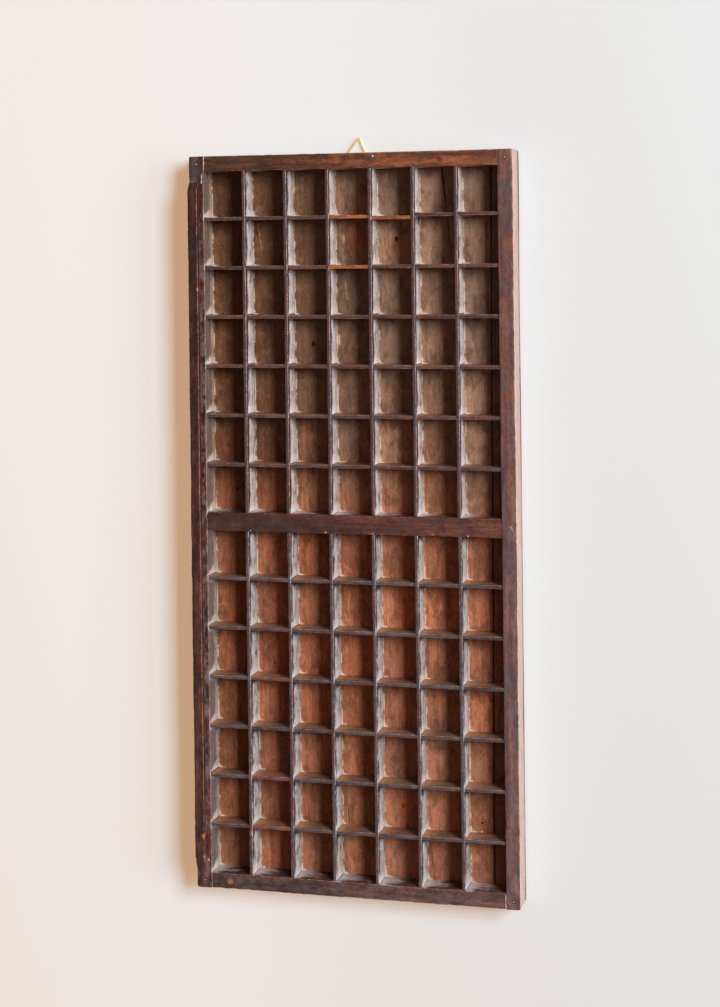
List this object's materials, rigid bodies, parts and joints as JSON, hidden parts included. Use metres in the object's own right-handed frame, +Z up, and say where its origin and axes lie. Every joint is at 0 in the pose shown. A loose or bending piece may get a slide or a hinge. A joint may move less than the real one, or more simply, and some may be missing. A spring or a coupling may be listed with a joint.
{
  "type": "letterpress type case",
  "caption": "Shallow wooden tray divided into equal small boxes in two halves, with a raised lip along its front rail and a wire hanger at one end.",
  "frame": {"origin": "middle of the underside, on the wide floor board", "axes": "+X along the length from the head end (with the hanger) to the foot end, +Y from the front rail to the back rail, +Z up out of the open boxes"},
  "size_m": [0.8442, 0.372, 0.041],
  "materials": {
    "rail_wood": "dark red-brown stain and old varnish, worn orange on the edges",
    "divider_wood": "dark stain, dusty",
    "partition_wood": "dark stain, a few pieces bare orange wood",
    "floor_wood": "unvarnished brown, dusty",
    "peg_wood": "end grain, stained",
    "iron_nails": "dull dark iron",
    "brass": "polished"
  },
  "bodies": {
    "case": {"front_rail": "rail_wood", "back_rail": "rail_wood", "head_end_rail": "rail_wood", "foot_end_rail": "rail_wood", "centre_bar": "rail_wood", "head_divider_1": "divider_wood", "head_divider_2": "divider_wood", "head_divider_3": "divider_wood", "head_divider_4": "divider_wood", "head_divider_5": "divider_wood", "head_divider_6": "divider_wood", "foot_divider_1": "divider_wood", "foot_divider_2": "divider_wood", "foot_divider_3": "divider_wood", "foot_divider_4": "divider_wood", "foot_divider_5": "divider_wood", "foot_divider_6": "divider_wood", "head_partitions_1": "partition_wood", "head_partitions_2": "partition_wood", "head_partitions_3": "partition_wood", "head_partitions_4": "partition_wood", "head_partitions_5": "partition_wood", "head_partitions_6": "partition_wood", "foot_partitions_1": "partition_wood", "foot_partitions_2": "partition_wood", "foot_partitions_3": "partition_wood", "foot_partitions_4": "partition_wood", "foot_partitions_5": "partition_wood", "foot_partitions_6": "partition_wood", "floor_board_wide": "floor_wood", "floor_board_narrow": "floor_wood", "corner_pegs": "peg_wood", "rail_nails": "iron_nails", "divider_brads": "iron_nails", "hanger_strap": "brass", "hanger_screw": "brass"},
    "hanger_ring": {"hanger_ring": "brass"}
  },
  "joints": [
    {"name": "ring_swing", "type": "hinge", "parent": "case", "child": "hanger_ring", "pos_m": [-0.40945, 0.00283, 0.00222], "axis": [-0.1219, -0.9925, 0], "range_deg": [0, 165]}
  ]
}
